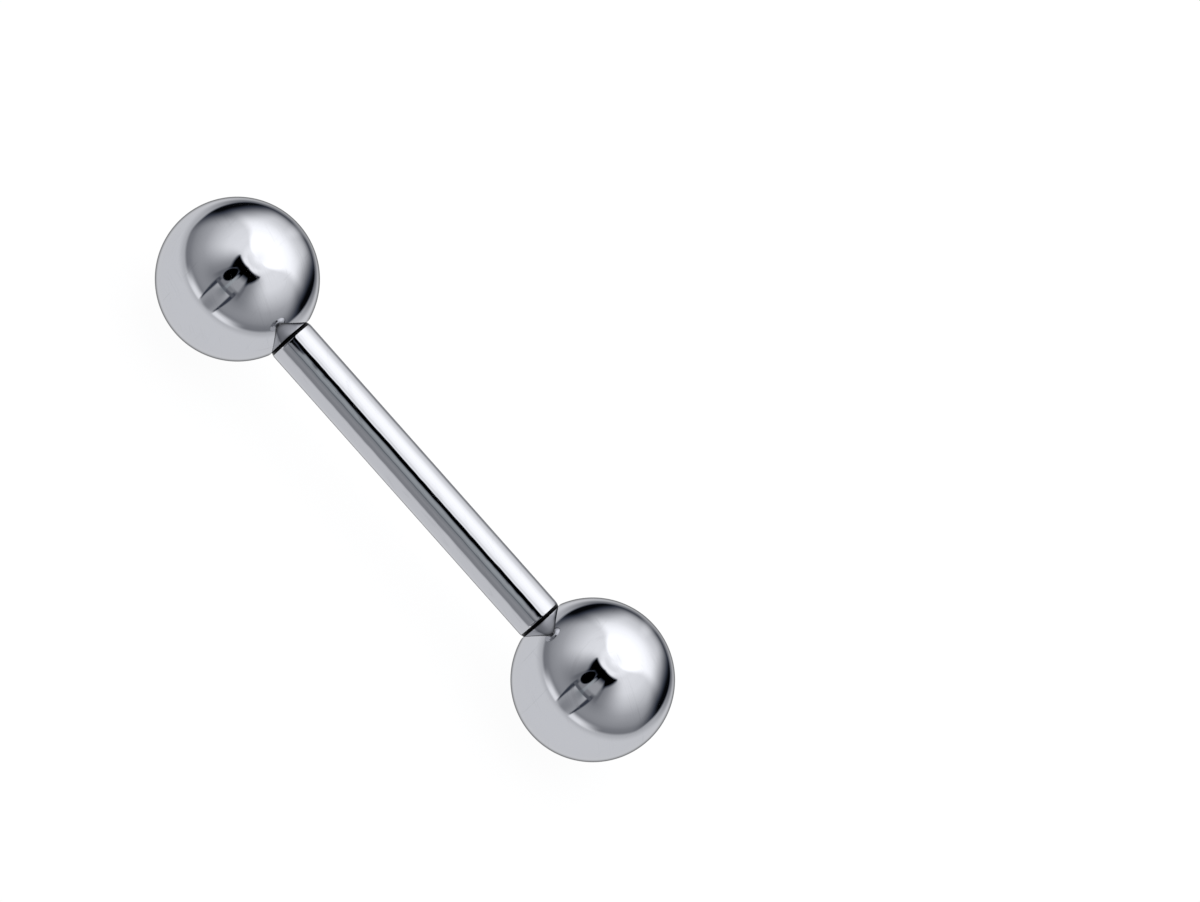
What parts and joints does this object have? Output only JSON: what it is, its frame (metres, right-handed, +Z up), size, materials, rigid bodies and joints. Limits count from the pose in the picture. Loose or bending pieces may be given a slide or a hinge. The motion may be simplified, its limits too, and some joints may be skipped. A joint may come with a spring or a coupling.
{
  "type": "industrial barbell",
  "caption": "Straight body-jewellery barbell: a mirror-polished steel bar, threaded at both ends, with a screw-on ball on each end.",
  "frame": {"origin": "middle of the bar, on its axis", "axes": "+X along the bar's axis towards ball_right; +Z up, away from the surface that the two balls rest on; +Y across the bar, away from the camera of the picture"},
  "size_m": [0.023, 0.0054, 0.0054],
  "materials": {
    "bar_steel": "polished",
    "ball_steel": "polished"
  },
  "bodies": {
    "bar": {"bar": "bar_steel"},
    "ball_left": {"ball_left": "ball_steel"},
    "ball_right": {"ball_right": "ball_steel"}
  },
  "joints": [
    {"name": "ball_left_off", "type": "slide", "parent": "bar", "child": "ball_left", "axis": [-1, 0, 0], "range_m": [0, 0.014]},
    {"name": "ball_right_off", "type": "slide", "parent": "bar", "child": "ball_right", "axis": [1, 0, 0], "range_m": [0, 0.014]}
  ]
}
